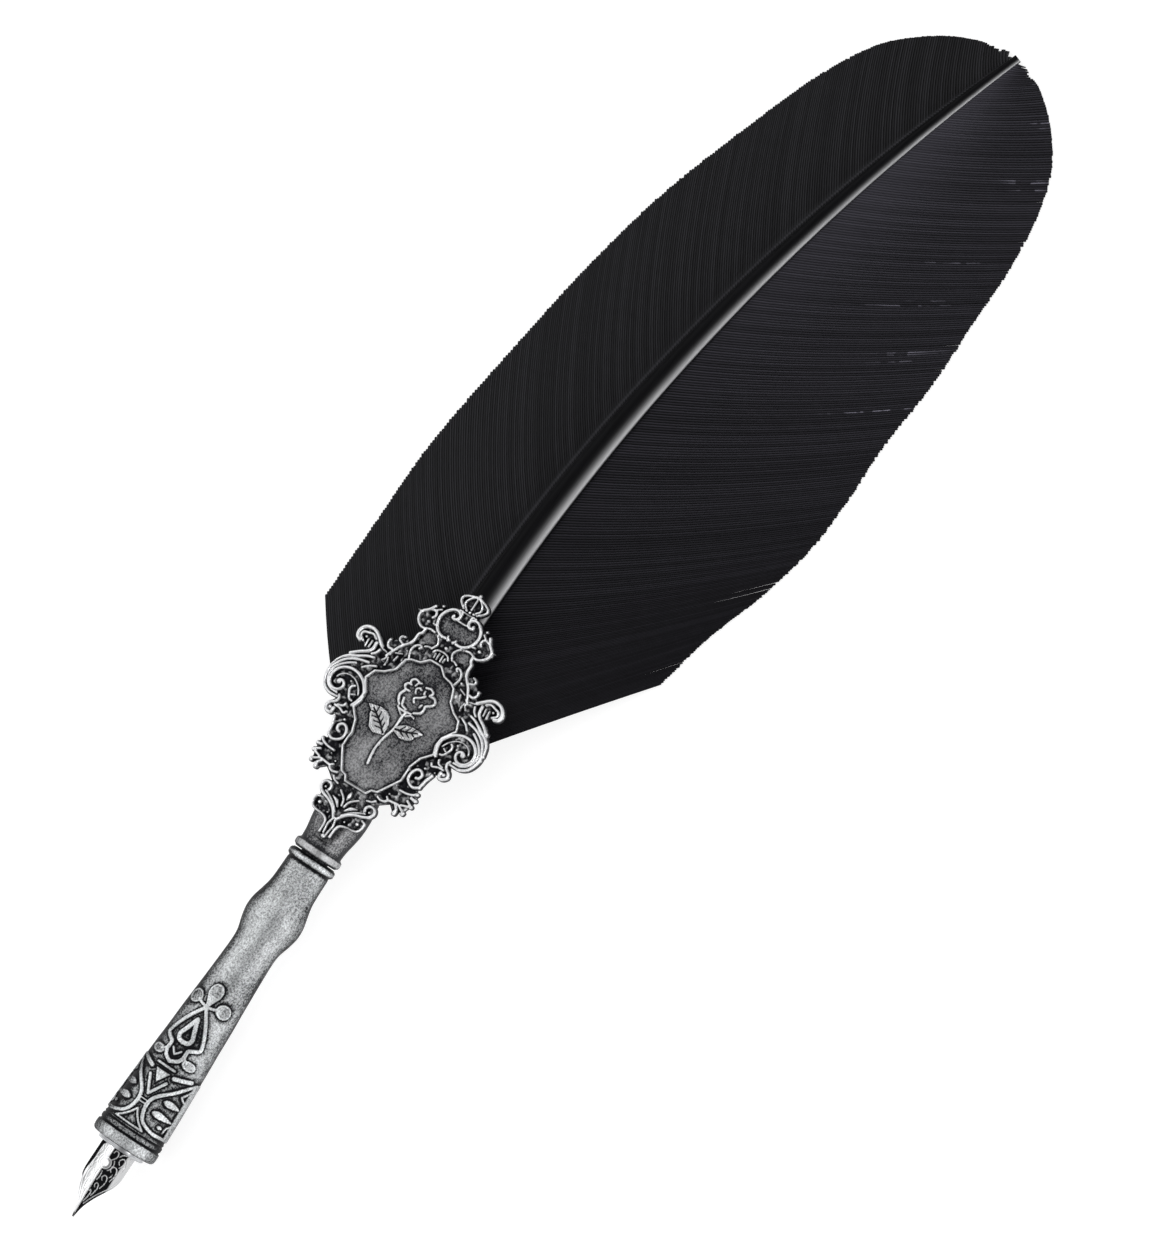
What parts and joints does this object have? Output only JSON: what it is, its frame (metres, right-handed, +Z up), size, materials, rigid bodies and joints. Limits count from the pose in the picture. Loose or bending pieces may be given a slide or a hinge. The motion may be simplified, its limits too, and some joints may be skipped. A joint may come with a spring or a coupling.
{
  "type": "quill pen",
  "caption": "Dip pen lying on its back: cast metal holder with a pull-out steel nib, scrolled crest with a rose, and a dark feather glued in the neck.",
  "frame": {"origin": "middle of the pen's bounding box in plan, at the level of the table it lies on", "axes": "+X along the pen from the nib to the feather's tip, +Z up, away from the table and out of the crest's face, +Y across the pen towards the feather's narrower vane"},
  "size_m": [0.278, 0.0752, 0.014],
  "materials": {
    "nib_steel": "polished",
    "ferrule_steel": "satin",
    "core_brass": "satin",
    "holder_pewter": "satin",
    "neck_pewter": "satin",
    "crest_pewter": "satin",
    "glue": "gloss",
    "quill": "gloss",
    "barbs": "satin"
  },
  "bodies": {
    "holder": {"barrel": "holder_pewter", "ferrule_cup": "ferrule_steel", "petal_core": "core_brass", "neck_socket": "neck_pewter", "crest": "crest_pewter", "glue_bead": "glue", "feather_shaft": "quill", "left_vane_1": "barbs", "left_vane_2": "barbs", "left_vane_3": "barbs", "left_vane_4": "barbs", "right_vane_1": "barbs", "right_vane_2": "barbs", "right_vane_3": "barbs", "right_vane_4": "barbs"},
    "nib": {"nib": "nib_steel"}
  },
  "joints": [
    {"name": "nib_slide", "type": "slide", "parent": "holder", "child": "nib", "axis": [-1, 0, 0], "range_m": [0, 0.02]}
  ]
}
